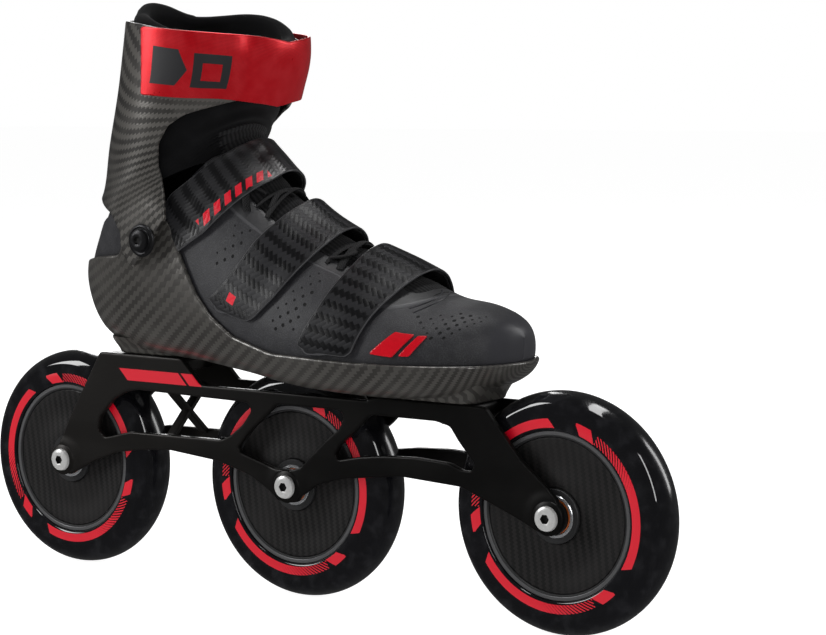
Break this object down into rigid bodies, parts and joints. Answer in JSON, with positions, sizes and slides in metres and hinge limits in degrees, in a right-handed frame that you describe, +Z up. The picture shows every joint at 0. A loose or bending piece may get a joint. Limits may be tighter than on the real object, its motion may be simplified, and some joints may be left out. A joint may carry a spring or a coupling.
{
  "type": "inline speed skate",
  "caption": "Right inline speed skate: low carbon boot with hinged cuff, instep straps and a long windowed frame carrying large wheels in line.",
  "frame": {"origin": "on the floor, straight under the middle axle", "axes": "+X towards the toe along the wheel line, +Y towards the inner side of the foot, +Z up"},
  "size_m": [0.457, 0.1072, 0.3188],
  "materials": {
    "anodised_aluminium": "satin anodised",
    "urethane": "glossy cast urethane",
    "nylon": "moulded",
    "carbon_laminate": "clear-coated twill",
    "bearing_steel": "ground",
    "bearing_shield": "moulded rubber",
    "bolt_steel": "zinc plated",
    "black_steel": "black oxide",
    "microfibre": "fine grain",
    "padding": "knit and brushed lining",
    "strap_face": "coated twill",
    "webbing": "woven",
    "red_foil_strap": "metallic foil"
  },
  "bodies": {
    "skate": {"frame": "anodised_aluminium", "boot_shell": "carbon_laminate", "upper": "microfibre", "foot_liner": "padding", "tongue": "padding", "insole": "padding", "toe_keeper": "webbing", "middle_keeper": "webbing", "instep_keeper": "webbing", "toe_strap": "strap_face", "middle_strap": "strap_face", "instep_strap": "strap_face", "pivot_bolt_outer": "black_steel", "pivot_bolt_inner": "black_steel", "pivot_washer_outer": "black_steel", "pivot_washer_inner": "black_steel", "mount_bolt_rear": "bolt_steel", "mount_washer_rear": "bolt_steel", "mount_bolt_front": "bolt_steel", "mount_washer_front": "bolt_steel", "rear_spacer": "bolt_steel", "rear_axle": "bolt_steel", "rear_inner_race_outer": "bearing_steel", "rear_inner_race_inner": "bearing_steel", "middle_spacer": "bolt_steel", "middle_axle": "bolt_steel", "middle_inner_race_outer": "bearing_steel", "middle_inner_race_inner": "bearing_steel", "front_spacer": "bolt_steel", "front_axle": "bolt_steel", "front_inner_race_outer": "bearing_steel", "front_inner_race_inner": "bearing_steel"},
    "cuff": {"cuff": "carbon_laminate", "ankle_liner": "padding", "cuff_strap": "red_foil_strap", "heel_tab": "webbing"},
    "rear_wheel": {"rear_tyre": "urethane", "rear_hub": "nylon", "rear_disc_outer": "carbon_laminate", "rear_disc_inner": "carbon_laminate", "rear_outer_race_outer": "bearing_steel", "rear_outer_race_inner": "bearing_steel", "rear_shield_outer": "bearing_shield", "rear_shield_inner": "bearing_shield"},
    "middle_wheel": {"middle_tyre": "urethane", "middle_hub": "nylon", "middle_disc_outer": "carbon_laminate", "middle_disc_inner": "carbon_laminate", "middle_outer_race_outer": "bearing_steel", "middle_outer_race_inner": "bearing_steel", "middle_shield_outer": "bearing_shield", "middle_shield_inner": "bearing_shield"},
    "front_wheel": {"front_tyre": "urethane", "front_hub": "nylon", "front_disc_outer": "carbon_laminate", "front_disc_inner": "carbon_laminate", "front_outer_race_outer": "bearing_steel", "front_outer_race_inner": "bearing_steel", "front_shield_outer": "bearing_shield", "front_shield_inner": "bearing_shield"}
  },
  "joints": [
    {"name": "cuff_flex", "type": "hinge", "parent": "skate", "child": "cuff", "pos_m": [-0.076, 0, 0.195], "axis": [0, 1, 0], "range_deg": [-8, 18], "stiffness_Nm_per_rad": 2},
    {"name": "rear_wheel_spin", "type": "hinge", "parent": "skate", "child": "rear_wheel", "pos_m": [-0.166, 0, 0.0625], "axis": [0, 1, 0], "continuous": true},
    {"name": "middle_wheel_spin", "type": "hinge", "parent": "skate", "child": "middle_wheel", "pos_m": [0, 0, 0.0625], "axis": [0, 1, 0], "continuous": true},
    {"name": "front_wheel_spin", "type": "hinge", "parent": "skate", "child": "front_wheel", "pos_m": [0.166, 0, 0.0625], "axis": [0, 1, 0], "continuous": true}
  ]
}
